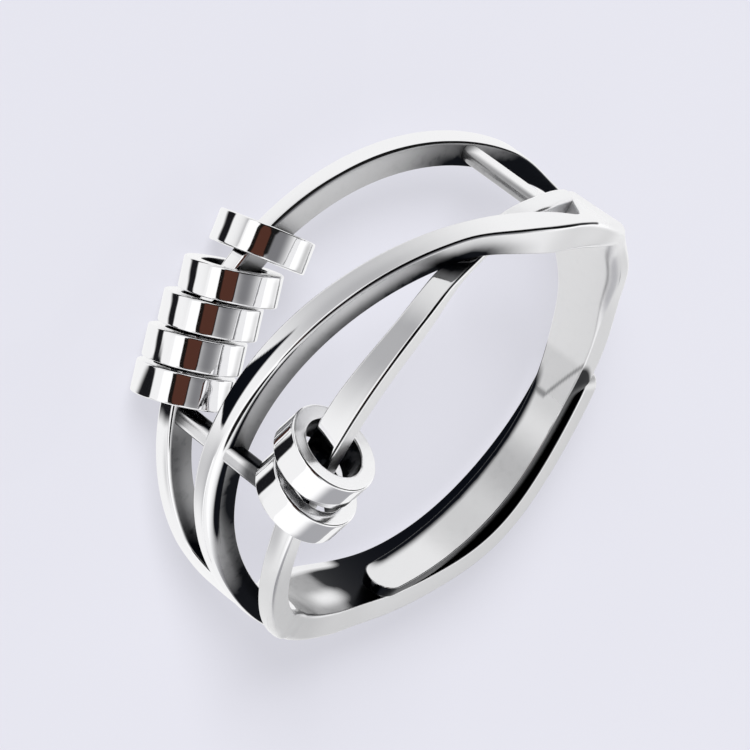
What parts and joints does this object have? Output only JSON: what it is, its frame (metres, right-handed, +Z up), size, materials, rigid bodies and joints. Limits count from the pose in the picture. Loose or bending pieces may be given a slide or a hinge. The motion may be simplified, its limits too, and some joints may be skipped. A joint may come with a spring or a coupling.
{
  "type": "spinner ring",
  "caption": "Open finger ring of three crossing wires with small loose rings that spin on two of them.",
  "frame": {"origin": "on the table, under the middle of the ring as it lies on its side", "axes": "+Z up from the table, +Y toward the front, where the wires cross over the finger, +X toward the ring's right side; the finger goes nearly along +Z"},
  "size_m": [0.02, 0.0224, 0.0106],
  "materials": {
    "silver": "mirror-polished silver, darkened in the grooves"
  },
  "bodies": {
    "ring_body": {"ring_body": "silver"},
    "spinner_far_1": {"spinner_far_1": "silver"},
    "spinner_far_2": {"spinner_far_2": "silver"},
    "spinner_far_3": {"spinner_far_3": "silver"},
    "spinner_far_4": {"spinner_far_4": "silver"},
    "spinner_far_5": {"spinner_far_5": "silver"},
    "spinner_near_1": {"spinner_near_1": "silver"},
    "spinner_near_2": {"spinner_near_2": "silver"}
  },
  "joints": [
    {"name": "spinner_far_1_spin", "type": "hinge", "parent": "ring_body", "child": "spinner_far_1", "pos_m": [0.00132, 0.00925, 0.00191], "axis": [0.9602, 0.1773, -0.2157], "continuous": true},
    {"name": "spinner_far_2_spin", "type": "hinge", "parent": "ring_body", "child": "spinner_far_2", "pos_m": [-0.00049, 0.0093, 0.00194], "axis": [0.9011, 0.3572, -0.2458], "continuous": true},
    {"name": "spinner_far_3_spin", "type": "hinge", "parent": "ring_body", "child": "spinner_far_3", "pos_m": [-0.00188, 0.00909, 0.00197], "axis": [0.9011, 0.3572, -0.2458], "continuous": true},
    {"name": "spinner_far_4_spin", "type": "hinge", "parent": "ring_body", "child": "spinner_far_4", "pos_m": [-0.00322, 0.00868, 0.00201], "axis": [0.9011, 0.3572, -0.2458], "continuous": true},
    {"name": "spinner_far_5_spin", "type": "hinge", "parent": "ring_body", "child": "spinner_far_5", "pos_m": [-0.00448, 0.00807, 0.00205], "axis": [0.9011, 0.3572, -0.2458], "continuous": true},
    {"name": "spinner_near_1_spin", "type": "hinge", "parent": "ring_body", "child": "spinner_near_1", "pos_m": [-0.00329, 0.00713, 0.00869], "axis": [0.8002, 0.3467, 0.4894], "continuous": true},
    {"name": "spinner_near_2_spin", "type": "hinge", "parent": "ring_body", "child": "spinner_near_2", "pos_m": [-0.00468, 0.00648, 0.00846], "axis": [0.8002, 0.3467, 0.4894], "continuous": true}
  ]
}
